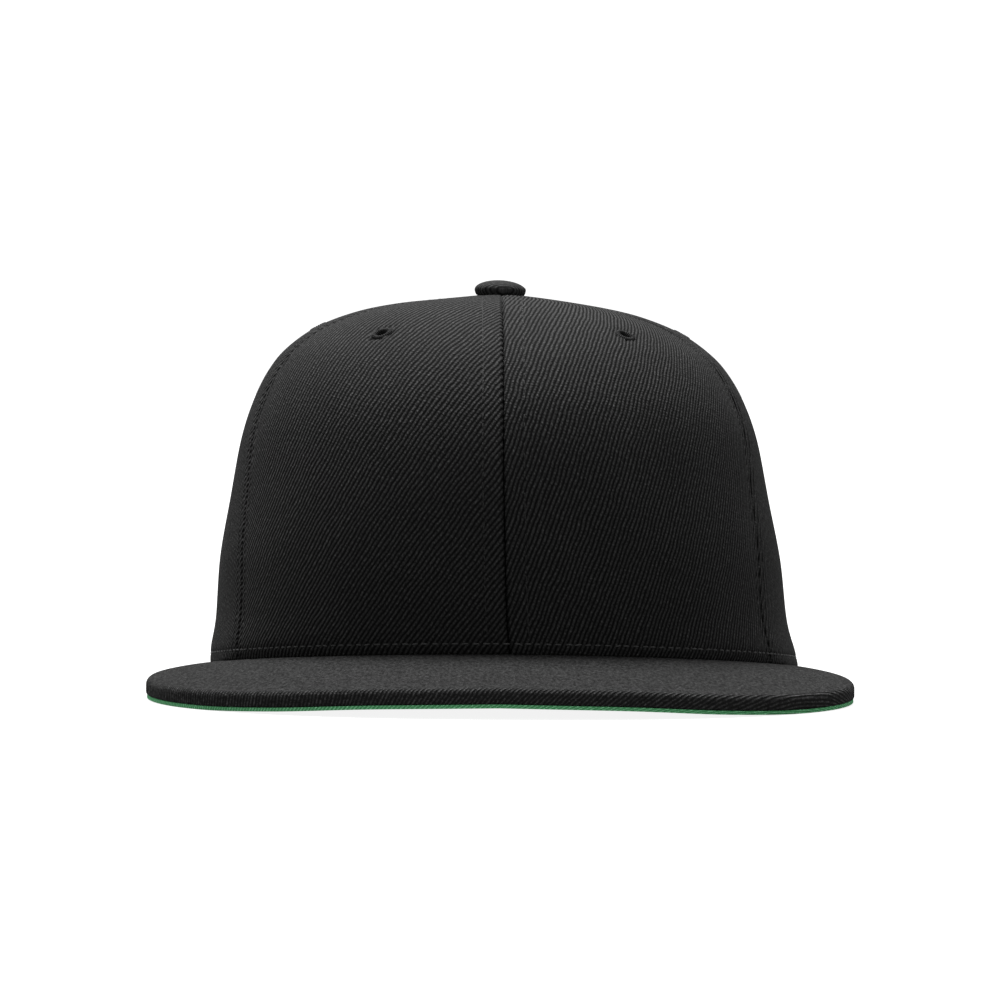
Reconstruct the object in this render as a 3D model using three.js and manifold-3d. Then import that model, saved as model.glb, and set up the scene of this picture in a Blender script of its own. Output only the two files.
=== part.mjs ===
// Snapback cap: six cloth panels sewn together under a covered button, a flat
// visor with a green underside, sewn eyelets, a sweatband and a rear strap.
// Millimetres, +Z up, front of the cap towards -Y, resting on the plane z = 0.
import * as THREE from "three";
import { mergeVertices } from "three/addons/utils/BufferGeometryUtils.js";
import Module from "manifold-3d";

const wasm = await Module();
wasm.setup();
const { Manifold, Mesh } = wasm;

const degree = Math.PI / 180;

// Fit
const clearance = 0.35;

// Crown
const crownWidth = 176;
const crownFrontReach = 98;
const crownBackReach = 100;
const crownHeight = 114.6;
const clothThickness = 1.7;
const frontRise = 12.5;
const floorAngle = 132 * degree;
const riseSharpness = 1.8;
const panelBulge = 0.9;
const bulgeStartShare = 0.17;
const bulgeEndShare = 0.25;
const crownLean = 2;
const shoulderTilt = 0.015;
const shoulderStart = 0.5;
const shoulderShare = 0.4;
const buttonSeatShare = 0.03;
const levelEdgeShare = 0.08;

// Hole under the button where the six panels meet
const crownHoleRadius = 3.2;

// Button
const buttonRadius = 7.65;
const buttonHeight = 4.2;
const buttonSkirt = 0.3;
const buttonWasherRadius = 5.6;
const buttonWasherThickness = 0.8;

// Rear opening
const archHalfWidth = 51;
const archHeight = 52;

// Visor
const visorWidth = 197;
const visorReach = 70;
const visorWidestReach = 78;
const visorSquareness = 2.35;
const visorCornerAngle = 70 * degree;
const visorCornerStep = 2;
const visorWidestShare = 0.722;
const visorTopThickness = 3.9;
const visorUnderThickness = 0.95;
const visorUnderInset = 0.4;
const visorEdgeRounding = 1.5;
const visorFrontLift = 2.8;
const visorTaperShare = 0.2;
const visorCornerThinning = 0.5;

// Eyelets
const eyeletOuterRadius = 3.3;
const eyeletInnerRadius = 1.3;
const eyeletLip = 0.55;
const eyeletEdge = 0.2;
const eyeletHoleRadius = 2.3;
const eyeletSag = 0.4;

// Sweatband
const sweatbandHeight = 32;
const sweatbandThickness = 1.3;

// Strap
const strapThickness = 1.3;
const strapLift = 3;
const strapHeight = 20;
const strapTail = 8;
const strapLap = 46;
const studRadius = 2.6;
const studHeight = 1.1;
const studPitch = 9;
const studCount = 5;
const lapBite = 0.1;

// Crown outline from the rim to the hole under the button.
// Columns: share of the height, share of the radius.
const sideProfile = [
  [0, 1],
  [0.045, 0.993],
  [0.126, 0.97],
  [0.287, 0.951],
  [0.447, 0.9125],
  [0.608, 0.873],
  [0.715, 0.826],
  [0.794, 0.77],
  [0.849, 0.706],
  [0.903, 0.605],
  [0.943, 0.475],
  [0.967, 0.34],
  [0.985, 0.17],
  [1, 0],
];
const frontProfile = [
  [0, 1],
  [0.093, 0.998],
  [0.22, 0.992],
  [0.348, 0.977],
  [0.465, 0.955],
  [0.583, 0.918],
  [0.681, 0.868],
  [0.759, 0.805],
  [0.828, 0.722],
  [0.886, 0.612],
  [0.932, 0.48],
  [0.964, 0.34],
  [0.986, 0.17],
  [1, 0],
];
const backProfile = [
  [0, 1],
  [0.1, 0.998],
  [0.22, 0.985],
  [0.35, 0.955],
  [0.48, 0.905],
  [0.6, 0.84],
  [0.7, 0.765],
  [0.79, 0.665],
  [0.87, 0.545],
  [0.925, 0.42],
  [0.963, 0.29],
  [0.986, 0.15],
  [1, 0],
];

// Sideways shift of the crown, to the right of someone who faces the cap.
// Columns: share of the height, share of the lean.
const leanTable = [
  [0, 0.6],
  [0.08, 0.25],
  [0.2, 0],
  [0.5, -0.3],
  [0.75, -0.35],
  [1, -0.45],
];

// Seam between the two front panels.
// Columns: share of the way from rim to button, angle from the front in degrees.
const centreSeam = [
  [0, 0.9],
  [0.7, 1],
  [0.9, 2.2],
  [1, 6],
];

// Seam between a front and a side panel, same columns.
const frontSeam = [
  [0, 61.5],
  [0.16, 64],
  [0.31, 67.5],
  [0.41, 70.5],
  [0.5, 71.5],
  [0.65, 70],
  [0.85, 65],
  [1, 61],
];

// Seam between a side and a back panel, same columns.
const backSeam = [
  [0, 118.5],
  [0.5, 114],
  [1, 120],
];

// Height of the visor's front edge above its lowest stretch.
// Columns: share of the way from the centre to the corner, share of the front lift.
const visorLift = [
  [0, 1],
  [0.14, 0.72],
  [0.272, 0.25],
  [0.413, 0],
  [0.722, 0.14],
  [1, 0.36],
];

// Panels. Columns: name, first seam, second seam, share across the panel and
// share of the way from rim to button at which the eyelet lies.
const panels = [
  ["front_left", "front_seam_left", "front_centre", 0.515, 0.63],
  ["front_right", "front_centre", "front_seam_right", 0.53, 0.645],
  ["side_right", "front_seam_right", "back_seam_right", 0.5, 0.68],
  ["back_right", "back_seam_right", "back_centre_right", 0.5, 0.68],
  ["back_left", "back_centre_left", "back_seam_left", 0.5, 0.68],
  ["side_left", "back_seam_left", "front_seam_left", 0.5, 0.68],
];

// The cap's middle from front to back is put at y = 0.
const visorFront = crownFrontReach + visorReach;
const shiftY = (visorFront - crownBackReach) / 2;
const rimShift = crownLean * leanTable[0][1];

const visorThickness = visorTopThickness + clearance + visorUnderThickness;

const mergeTolerance = 1e-4;

function material(color, roughness) {
  return new THREE.MeshStandardMaterial({ color, roughness, metalness: 0 });
}

function lerp(from, to, share) {
  return from + (to - from) * share;
}

function smooth(share) {
  const clamped = Math.min(Math.max(share, 0), 1);
  return clamped * clamped * (3 - 2 * clamped);
}

// Smooth reading of a table with a rising first column.
function readTable(table, at) {
  let row = 0;
  while (row < table.length - 2 && at > table[row + 1][0]) {
    row += 1;
  }
  const slope = (index) => {
    const low = table[Math.max(index - 1, 0)];
    const high = table[Math.min(index + 1, table.length - 1)];
    return (high[1] - low[1]) / (high[0] - low[0]);
  };
  const [startAt, startValue] = table[row];
  const [endAt, endValue] = table[row + 1];
  const span = endAt - startAt;
  const t = (at - startAt) / span;
  const t2 = t * t;
  const t3 = t2 * t;
  return (2 * t3 - 3 * t2 + 1) * startValue
    + (t3 - 2 * t2 + t) * span * slope(row)
    + (3 * t2 - 2 * t3) * endValue
    + (t3 - t2) * span * slope(row + 1);
}

// A crown outline as a curve that is walked evenly along its length.
function profileCurve(table, radius, height) {
  const points = table.map(([up, out]) => {
    return new THREE.Vector2(lerp(crownHoleRadius, radius, out) / radius, up * height / radius);
  });
  const curve = new THREE.SplineCurve(points);
  const at = (share) => {
    const point = curve.getPointAt(Math.min(Math.max(share, 0), 1));
    return { out: point.x * radius, up: point.y * radius / height };
  };
  return { at, length: curve.getLength() * radius };
}

const sideCurve = profileCurve(sideProfile, crownWidth / 2, crownHeight);
const frontCurve = profileCurve(frontProfile, crownFrontReach, crownHeight - frontRise);
const backCurve = profileCurve(backProfile, crownBackReach, crownHeight);

// Height of the rim above the floor, falling from the front to the back.
function rimHeight(angle) {
  const share = Math.min(Math.abs(angle) / floorAngle, 1);
  return frontRise * Math.cos(share * Math.PI / 2) ** riseSharpness;
}

const seamAngles = {
  front_centre: (share) => readTable(centreSeam, share) * degree,
  front_seam_right: (share) => readTable(frontSeam, share) * degree,
  back_seam_right: (share) => readTable(backSeam, share) * degree,
  back_centre_right: () => Math.PI,
  back_centre_left: () => -Math.PI,
  back_seam_left: (share) => -readTable(backSeam, share) * degree,
  front_seam_left: (share) => -readTable(frontSeam, share) * degree,
};

// Offset of the cloth from the crown's outline: none in the middle of a panel,
// and inwards towards its two seams.
function swell(angle, share) {
  for (const [, first, second] of panels) {
    const start = seamAngles[first](share);
    const end = seamAngles[second](share);
    if (angle >= start && angle <= end) {
      const across = (angle - start) / (end - start);
      const along = smooth(share / bulgeStartShare) * smooth((1 - share) / bulgeEndShare);
      return panelBulge * (Math.sin(across * Math.PI) - 1) * along;
    }
  }
  return 0;
}

// Outside of the crown. The angle runs from the front towards +X; the share
// runs along the cloth from the rim to the hole under the button.
function crownSkin(angle, share) {
  const sine = Math.sin(angle);
  const cosine = Math.cos(angle);
  const side = sideCurve.at(share);
  const middle = cosine >= 0 ? frontCurve.at(share) : backCurve.at(share);
  const up = side.up * sine * sine + middle.up * cosine * cosine;
  const rim = rimHeight(angle);
  const bulge = swell(Math.atan2(sine, cosine), share);
  const x = sine * (side.out + bulge) + crownLean * readTable(leanTable, up);
  const y = -cosine * (middle.out + bulge);
  const shoulder = smooth((up - shoulderStart) / shoulderShare) * smooth((1 - up) / buttonSeatShare);
  const z = rim + up * (crownHeight - rim) - shoulderTilt * sine * side.out * shoulder;
  return new THREE.Vector3(x, y + shiftY, z);
}

function crownNormal(angle, share) {
  const angleStep = 0.01;
  const shareStep = 0.004;
  const low = Math.max(share - shareStep, 0);
  const high = Math.min(share + shareStep, 1);
  const across = crownSkin(angle + angleStep, share).sub(crownSkin(angle - angleStep, share));
  const along = crownSkin(angle, high).sub(crownSkin(angle, low));
  return across.cross(along).normalize();
}

// A point under the outside of the crown. At the rim the cut edge stays level.
function crownPoint(angle, share, depth) {
  const skin = crownSkin(angle, share);
  const inner = skin.clone().addScaledVector(crownNormal(angle, share), -depth);
  inner.z = lerp(skin.z, inner.z, smooth(share / levelEdgeShare));
  return inner;
}

// Angle that covers a length along the crown at a given height.
function angleOfLength(angle, share, length) {
  const step = 0.01;
  const chord = crownSkin(angle + step, share).distanceTo(crownSkin(angle - step, share));
  return length * 2 * step / chord;
}

// Closed solid between two grids of points with the same rows and columns.
function slab(outer, inner) {
  const rows = outer.length;
  const columns = outer[0].length;
  const positions = [];
  for (const grid of [outer, inner]) {
    for (const line of grid) {
      for (const point of line) {
        positions.push(point.x, point.y, point.z);
      }
    }
  }
  const top = (row, column) => row * columns + column;
  const bottom = (row, column) => (rows + row) * columns + column;
  const index = [];
  const quad = (a, b, c, d) => {
    index.push(a, b, c, a, c, d);
  };
  for (let row = 0; row < rows - 1; row += 1) {
    for (let column = 0; column < columns - 1; column += 1) {
      quad(top(row, column), top(row, column + 1), top(row + 1, column + 1), top(row + 1, column));
      quad(
        bottom(row, column),
        bottom(row + 1, column),
        bottom(row + 1, column + 1),
        bottom(row, column + 1),
      );
    }
  }
  for (let column = 0; column < columns - 1; column += 1) {
    const last = rows - 1;
    quad(top(0, column), bottom(0, column), bottom(0, column + 1), top(0, column + 1));
    quad(top(last, column), top(last, column + 1), bottom(last, column + 1), bottom(last, column));
  }
  for (let row = 0; row < rows - 1; row += 1) {
    const last = columns - 1;
    quad(top(row, 0), top(row + 1, 0), bottom(row + 1, 0), bottom(row, 0));
    quad(top(row, last), bottom(row, last), bottom(row + 1, last), top(row + 1, last));
  }
  const geometry = new THREE.BufferGeometry();
  geometry.setAttribute("position", new THREE.Float32BufferAttribute(positions, 3));
  geometry.setIndex(index);
  return geometry;
}

function grid(rows, columns, at) {
  const lines = [];
  for (let row = 0; row <= rows; row += 1) {
    const line = [];
    for (let column = 0; column <= columns; column += 1) {
      line.push(at(row / rows, column / columns));
    }
    lines.push(line);
  }
  return lines;
}

function toSolid(geometry) {
  const plain = geometry.clone();
  plain.deleteAttribute("normal");
  plain.deleteAttribute("uv");
  const merged = mergeVertices(plain, mergeTolerance);
  const mesh = new Mesh({
    numProp: 3,
    vertProperties: Float32Array.from(merged.attributes.position.array),
    triVerts: Uint32Array.from(merged.index.array),
  });
  return new Manifold(mesh);
}

function toGeometry(solid) {
  const mesh = solid.getMesh();
  const geometry = new THREE.BufferGeometry();
  geometry.setAttribute("position", new THREE.BufferAttribute(mesh.vertProperties, 3));
  geometry.setIndex(new THREE.BufferAttribute(mesh.triVerts, 1));
  return geometry;
}

// Turns a geometry that stands on +Z so that it stands on the crown.
function seatOnCrown(geometry, angle, share, depth) {
  const turn = new THREE.Quaternion().setFromUnitVectors(
    new THREE.Vector3(0, 0, 1),
    crownNormal(angle, share),
  );
  const place = crownPoint(angle, share, depth);
  const matrix = new THREE.Matrix4().compose(place, turn, new THREE.Vector3(1, 1, 1));
  return geometry.applyMatrix4(matrix);
}

const group = new THREE.Group();
group.name = "snapback_cap";

function addPiece(name, geometry, look) {
  const merged = mergeVertices(geometry, mergeTolerance);
  merged.computeVertexNormals();
  const mesh = new THREE.Mesh(merged, look);
  mesh.name = name;
  group.add(mesh);
}

// Crown panels. Each wall runs between two seams and keeps half of the
// clearance from each. The two back ones are cut by the rear opening.
const panelRows = 20;
const panelColumns = 8;
const eyeletSides = 12;
const archSteps = 20;

function eyeletAngle(first, second, across, share) {
  return lerp(seamAngles[first](share), seamAngles[second](share), across);
}

function panelWall(first, second) {
  const face = (depth) => grid(panelRows, panelColumns, (share, across) => {
    const start = seamAngles[first](share);
    const end = seamAngles[second](share);
    const startGap = angleOfLength(start, share, clearance / 2);
    const endGap = angleOfLength(end, share, clearance / 2);
    const angle = lerp(start + startGap, end - endGap, across);
    return crownPoint(angle, share, depth);
  });
  return slab(face(0), face(clothThickness));
}

function archCutter() {
  const depth = crownBackReach;
  const shape = new THREE.Shape();
  shape.moveTo(-archHalfWidth, -archHeight);
  shape.lineTo(archHalfWidth, -archHeight);
  shape.lineTo(archHalfWidth, 0);
  shape.absellipse(0, 0, archHalfWidth, archHeight, 0, Math.PI, false);
  const cutter = new THREE.ExtrudeGeometry(shape, {
    depth,
    bevelEnabled: false,
    curveSegments: archSteps,
  });
  cutter.rotateX(Math.PI / 2);
  cutter.translate(rimShift, shiftY + crownBackReach / 2 + depth, 0);
  return cutter;
}

for (const [name, first, second, across, share] of panels) {
  const angle = eyeletAngle(first, second, across, share);
  const drill = new THREE.CylinderGeometry(
    eyeletHoleRadius,
    eyeletHoleRadius,
    clothThickness * 4,
    eyeletSides,
  );
  drill.rotateX(Math.PI / 2);
  let wall = toSolid(panelWall(first, second));
  wall = wall.subtract(toSolid(seatOnCrown(drill, angle, share, 0)));
  if (name.startsWith("back")) {
    wall = wall.subtract(toSolid(archCutter()));
  }
  addPiece(`panel_${name}`, toGeometry(wall), material(0x1b1c1e, 0.95));
}

// Eyelets: sewn rings that line a hole and lie on both faces of the cloth.
// The sag is how far the curved cloth falls across the width of the ring.
function eyeletRing() {
  const top = clearance + eyeletLip;
  const inside = -clothThickness - clearance - eyeletSag;
  const bottom = inside - eyeletLip;
  const throat = eyeletHoleRadius - clearance;
  const outline = [
    [eyeletInnerRadius, bottom + eyeletEdge],
    [throat, bottom],
    [eyeletOuterRadius, bottom + eyeletEdge],
    [eyeletOuterRadius, inside],
    [throat, inside],
    [throat, clearance],
    [eyeletOuterRadius, clearance],
    [eyeletOuterRadius, top - eyeletEdge],
    [throat, top],
    [eyeletInnerRadius, top - eyeletEdge],
    [eyeletInnerRadius, bottom + eyeletEdge],
  ];
  const points = outline.map(([x, y]) => new THREE.Vector2(x, y));
  const ring = new THREE.LatheGeometry(points, eyeletSides);
  ring.rotateX(Math.PI / 2);
  return ring;
}

for (const [name, first, second, across, share] of panels) {
  const angle = eyeletAngle(first, second, across, share);
  const ring = seatOnCrown(eyeletRing(), angle, share, 0);
  addPiece(`eyelet_${name}`, ring, material(0x17181a, 0.8));
}

// Button: a covered dome outside, a shank through the hole and a washer inside.
const buttonSides = 32;
const buttonSteps = 6;

function buttonSolid() {
  const shank = crownHoleRadius - clearance;
  const seat = clearance;
  const under = -clothThickness - clearance * 2;
  const outline = [
    [0, under - buttonWasherThickness],
    [buttonWasherRadius, under - buttonWasherThickness],
    [buttonWasherRadius, under],
    [shank, under],
    [shank, seat],
    [buttonRadius, seat],
    [buttonRadius, seat + buttonSkirt],
  ];
  for (let step = 1; step <= buttonSteps; step += 1) {
    const turn = step / buttonSteps * Math.PI / 2;
    const height = lerp(seat + buttonSkirt, buttonHeight, Math.sin(turn));
    outline.push([step === buttonSteps ? 0 : buttonRadius * Math.cos(turn), height]);
  }
  const dome = new THREE.LatheGeometry(outline.map(([x, y]) => new THREE.Vector2(x, y)), buttonSides);
  dome.rotateX(Math.PI / 2);
  dome.translate(crownSkin(0, 1).x, shiftY, crownHeight);
  return dome;
}
addPiece("top_button", buttonSolid(), material(0x1b1c1e, 0.95));

// Visor. Its rear edge lies under the rim of the crown. Its outer edge is a
// squared oval in front and runs in to the rim behind its widest line.
const visorColumns = 32;
const visorRows = 3;
const roundingRows = 3;
const widestY = shiftY - visorFront + visorWidestReach;

// Share of the full thickness, which falls towards the two rear corners.
function visorFullness(share) {
  const near = (Math.abs(share) - 1 + visorTaperShare) / visorTaperShare;
  return 1 - visorCornerThinning * smooth(near);
}

function visorEdge(share) {
  const side = Math.sign(share);
  const along = Math.abs(share);
  const height = visorThickness + visorFrontLift * readTable(visorLift, along);
  if (along <= visorWidestShare) {
    const turn = along / visorWidestShare * Math.PI / 2;
    const power = 2 / visorSquareness;
    const x = side * visorWidth / 2 * Math.sin(turn) ** power;
    const y = widestY - visorWidestReach * Math.max(Math.cos(turn), 0) ** power;
    return new THREE.Vector3(x, y, height);
  }
  const corner = crownPoint(side * visorCornerAngle, 0, -visorCornerStep);
  const rest = (along - visorWidestShare) / (1 - visorWidestShare);
  const x = lerp(side * visorWidth / 2, corner.x, rest * rest);
  return new THREE.Vector3(x, lerp(widestY, corner.y, rest), height);
}

// One face of the visor, lowered by a depth and cut back from the outer edge.
function visorFace(top, depth, inset, rounding) {
  const lines = [];
  for (let column = 0; column <= visorColumns; column += 1) {
    const share = column / visorColumns * 2 - 1;
    const edge = visorEdge(share);
    const rear = crownPoint(share * visorCornerAngle, 0, clothThickness);
    rear.z -= clearance;
    const run = edge.clone().sub(rear);
    const length = run.length();
    const line = [];
    const fullness = visorFullness(share);
    const put = (distance, drop) => {
      const point = rear.clone().addScaledVector(run, distance / length);
      line.push(point.setZ(point.z - top - fullness * (depth + drop)));
    };
    const flat = length - inset - visorEdgeRounding;
    for (let row = 0; row <= visorRows; row += 1) {
      put(flat * row / visorRows, 0);
    }
    for (let row = 1; row <= roundingRows; row += 1) {
      const turn = row / roundingRows * Math.PI / 2;
      const out = visorEdgeRounding * Math.sin(turn);
      put(flat + out, rounding * (1 - Math.cos(turn)));
    }
    lines.push(line);
  }
  return lines;
}

const coverFaces = [
  visorFace(0, 0, 0, visorEdgeRounding),
  visorFace(0, visorTopThickness, 0, 0),
];
const underFaces = [
  visorFace(clearance, visorTopThickness, visorUnderInset, 0),
  visorFace(clearance, visorTopThickness + visorUnderThickness, visorUnderInset, 0),
];
addPiece("visor_top", slab(...coverFaces), material(0x1b1c1e, 0.9));
addPiece("visor_under", slab(...underFaces), material(0x2f9a4d, 0.85));

// Sweatband: inside the rim, stopping at the two sides of the rear opening and
// stepping inwards over the sewn ends of the strap.
const strapEnd = Math.asin((archHalfWidth + strapTail) / (crownWidth / 2));
const archEdge = Math.asin(archHalfWidth / (crownWidth / 2));
const bandColumns = 48;
const bandRows = 2;
const insideDepth = clothThickness + clearance;
const sideLength = sideCurve.length;
const backLength = backCurve.length;

function bandFace(depth) {
  const stepStart = Math.PI - strapEnd - strapTail * 2 / crownBackReach;
  const stepEnd = Math.PI - strapEnd - clearance / crownBackReach;
  return grid(bandRows, bandColumns, (up, across) => {
    const angle = lerp(archEdge - Math.PI, Math.PI - archEdge, across);
    const step = smooth((Math.abs(angle) - stepStart) / (stepEnd - stepStart));
    const total = depth + step * (strapThickness + clearance);
    return crownPoint(angle, up * sweatbandHeight / sideLength, total);
  });
}
const band = slab(bandFace(insideDepth), bandFace(insideDepth + sweatbandThickness));
addPiece("sweatband", band, material(0x202124, 0.95));

// Strap: two lapped tails joined by a row of studs, closing the rear opening.
const strapColumns = 18;
const strapRows = 3;
const studSides = 16;
const lapEdge = Math.asin(strapLap / 2 / (crownWidth / 2));
const strapTop = strapLift + strapHeight;
const archHalfAtStrap = archHalfWidth * Math.sqrt(1 - (strapTop / archHeight) ** 2);
const stepEdge = Math.asin((archHalfAtStrap - rimShift) / (crownWidth / 2));

function strapTailSolid(start, end, outward) {
  const face = (depth) => grid(strapRows, strapColumns, (up, across) => {
    const turn = lerp(start, end, across);
    const step = outward * smooth((stepEdge - turn) / (stepEdge - lapEdge));
    const share = (strapLift + up * strapHeight) / backLength;
    return crownPoint(Math.PI + turn, share, depth - step);
  });
  return toSolid(slab(face(insideDepth), face(insideDepth + strapThickness)));
}

function strapSolid() {
  const outward = strapThickness - lapBite;
  const innerTail = strapTailSolid(-strapEnd, lapEdge, 0);
  let strap = innerTail.add(strapTailSolid(-lapEdge, strapEnd, outward));
  const share = (strapLift + strapHeight / 2) / backLength;
  for (let stud = 0; stud < studCount; stud += 1) {
    const along = (stud - (studCount - 1) / 2) * studPitch;
    const angle = Math.PI + Math.asin(along / (crownWidth / 2));
    const height = studHeight + strapThickness / 2;
    const head = new THREE.CylinderGeometry(studRadius, studRadius, height, studSides);
    head.rotateX(Math.PI / 2);
    head.translate(0, 0, studHeight - height / 2);
    strap = strap.add(toSolid(seatOnCrown(head, angle, share, insideDepth - outward)));
  }
  return strap;
}
addPiece("snap_strap", toGeometry(strapSolid()), material(0x16171a, 0.5));

export default group;
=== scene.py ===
"""A black snapback cap with a green underside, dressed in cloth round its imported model."""

import math

import bpy
import numpy as np
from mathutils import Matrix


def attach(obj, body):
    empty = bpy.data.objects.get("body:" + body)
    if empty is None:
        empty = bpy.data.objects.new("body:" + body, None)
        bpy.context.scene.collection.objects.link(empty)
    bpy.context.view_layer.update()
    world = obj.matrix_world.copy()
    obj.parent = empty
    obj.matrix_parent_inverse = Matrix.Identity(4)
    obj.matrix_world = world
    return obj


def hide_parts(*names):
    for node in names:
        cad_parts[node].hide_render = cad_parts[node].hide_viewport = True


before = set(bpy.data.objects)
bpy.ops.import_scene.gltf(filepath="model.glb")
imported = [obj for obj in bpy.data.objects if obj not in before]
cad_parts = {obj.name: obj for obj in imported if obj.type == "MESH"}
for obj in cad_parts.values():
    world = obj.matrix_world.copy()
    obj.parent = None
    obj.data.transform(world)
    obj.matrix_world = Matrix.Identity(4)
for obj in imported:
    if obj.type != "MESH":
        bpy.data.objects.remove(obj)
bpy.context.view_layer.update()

# Crown panels. Six gores of black wool twill, sewn edge to edge from the rim to
# the button. Each seam is pressed open behind and sewn down on both sides, so
# the cloth dips at the seam and at the two rows of topstitching beside it.
MM = 0.001
DEGREE = math.pi / 180

CROWN_WIDTH = 176
CROWN_FRONT_REACH = 98
CROWN_BACK_REACH = 100
CROWN_HEIGHT = 114.6
CLOTH = 1.7
FRONT_RISE = 12.5
FLOOR_ANGLE = 132 * DEGREE
RISE_SHARPNESS = 1.8
PANEL_BULGE = 0.9
BULGE_START = 0.17
BULGE_END = 0.25
CROWN_LEAN = 2
SHOULDER_TILT = 0.015
SHOULDER_START = 0.5
SHOULDER_SHARE = 0.4
BUTTON_SEAT_SHARE = 0.03
LEVEL_EDGE_SHARE = 0.08
HOLE_RADIUS = 3.2
ARCH_HALF_WIDTH = 51
ARCH_HEIGHT = 52
VISOR_REACH = 70
SHIFT_Y = (CROWN_FRONT_REACH + VISOR_REACH - CROWN_BACK_REACH) / 2
OUTLINE_SAMPLES = 4001
ANGLE_STEP = 0.01
SHARE_STEP = 0.004

# Columns: share of the height, share of the radius.
SIDE_PROFILE = [
    (0, 1), (0.045, 0.993), (0.126, 0.97), (0.287, 0.951), (0.447, 0.9125),
    (0.608, 0.873), (0.715, 0.826), (0.794, 0.77), (0.849, 0.706), (0.903, 0.605),
    (0.943, 0.475), (0.967, 0.34), (0.985, 0.17), (1, 0),
]
FRONT_PROFILE = [
    (0, 1), (0.093, 0.998), (0.22, 0.992), (0.348, 0.977), (0.465, 0.955),
    (0.583, 0.918), (0.681, 0.868), (0.759, 0.805), (0.828, 0.722), (0.886, 0.612),
    (0.932, 0.48), (0.964, 0.34), (0.986, 0.17), (1, 0),
]
BACK_PROFILE = [
    (0, 1), (0.1, 0.998), (0.22, 0.985), (0.35, 0.955), (0.48, 0.905),
    (0.6, 0.84), (0.7, 0.765), (0.79, 0.665), (0.87, 0.545), (0.925, 0.42),
    (0.963, 0.29), (0.986, 0.15), (1, 0),
]
# Columns: share of the height, share of the lean.
LEAN = [(0, 0.6), (0.08, 0.25), (0.2, 0), (0.5, -0.3), (0.75, -0.35), (1, -0.45)]
RIM_SHIFT = CROWN_LEAN * LEAN[0][1]
# Columns: share of the way from rim to button, angle from the front in degrees.
CENTRE_SEAM = [(0, 0.9), (0.7, 1), (0.9, 2.2), (1, 6)]
FRONT_SEAM = [
    (0, 61.5), (0.16, 64), (0.31, 67.5), (0.41, 70.5), (0.5, 71.5), (0.65, 70),
    (0.85, 65), (1, 61),
]
BACK_SEAM = [(0, 118.5), (0.5, 114), (1, 120)]


def smooth(share):
    """The curve 3s^2 - 2s^3, which starts and ends level."""
    clamped = np.clip(share, 0, 1)
    return clamped * clamped * (3 - 2 * clamped)


def read_table(table, at):
    """Hermite curve through the rows, with each row's slope taken from its neighbours."""
    rows = np.array(table, float)
    places, values = rows[:, 0], rows[:, 1]
    last = len(places) - 1
    low = np.maximum(np.arange(last + 1) - 1, 0)
    high = np.minimum(np.arange(last + 1) + 1, last)
    slopes = (values[high] - values[low]) / (places[high] - places[low])
    at = np.asarray(at, float)
    row = np.clip(np.searchsorted(places, at, side="left") - 1, 0, last - 1)
    span = places[row + 1] - places[row]
    t = (at - places[row]) / span
    return (
        (2 * t**3 - 3 * t**2 + 1) * values[row]
        + (t**3 - 2 * t**2 + t) * span * slopes[row]
        + (3 * t**2 - 2 * t**3) * values[row + 1]
        + (t**3 - t**2) * span * slopes[row + 1]
    )


def outline(table, radius, height):
    """Catmull-Rom curve through the rows, walked evenly along its length.

    Gives a function from the share of the length to the radius and the share of
    the height, and the whole length.
    """
    rows = np.array(table, float)
    points = np.stack([HOLE_RADIUS + (radius - HOLE_RADIUS) * rows[:, 1], rows[:, 0] * height], 1)
    last = len(points) - 1
    walk = np.linspace(0, last, OUTLINE_SAMPLES)
    row = np.minimum(walk.astype(int), last - 1)
    t = (walk - row)[:, None]
    before, start = points[np.maximum(row - 1, 0)], points[row]
    end, after = points[row + 1], points[np.minimum(row + 2, last)]
    start_slope, end_slope = (end - before) / 2, (after - start) / 2
    curve = (
        (2 * start - 2 * end + start_slope + end_slope) * t**3
        + (-3 * start + 3 * end - 2 * start_slope - end_slope) * t**2
        + start_slope * t
        + start
    )
    steps = np.linalg.norm(np.diff(curve, axis=0), axis=1)
    along = np.concatenate([[0], np.cumsum(steps)])
    length = along[-1]

    def at(share):
        place = np.clip(share, 0, 1) * length
        return np.interp(place, along, curve[:, 0]), np.interp(place, along, curve[:, 1]) / height

    return at, length


side_at, side_length = outline(SIDE_PROFILE, CROWN_WIDTH / 2, CROWN_HEIGHT)
front_at, _ = outline(FRONT_PROFILE, CROWN_FRONT_REACH, CROWN_HEIGHT - FRONT_RISE)
back_at, back_length = outline(BACK_PROFILE, CROWN_BACK_REACH, CROWN_HEIGHT)


def rim_height(angle):
    """Cosine of a quarter turn spread from the front to the floor angle, raised to a power."""
    share = np.minimum(np.abs(angle) / FLOOR_ANGLE, 1)
    return FRONT_RISE * np.maximum(np.cos(share * math.pi / 2), 0) ** RISE_SHARPNESS


SEAMS = {
    "front": lambda share: read_table(CENTRE_SEAM, share) * DEGREE,
    "front_right": lambda share: read_table(FRONT_SEAM, share) * DEGREE,
    "back_right": lambda share: read_table(BACK_SEAM, share) * DEGREE,
    "back": lambda share: np.full_like(np.asarray(share, float), math.pi),
    "back_start": lambda share: np.full_like(np.asarray(share, float), -math.pi),
    "back_left": lambda share: -read_table(BACK_SEAM, share) * DEGREE,
    "front_left": lambda share: -read_table(FRONT_SEAM, share) * DEGREE,
}
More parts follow.
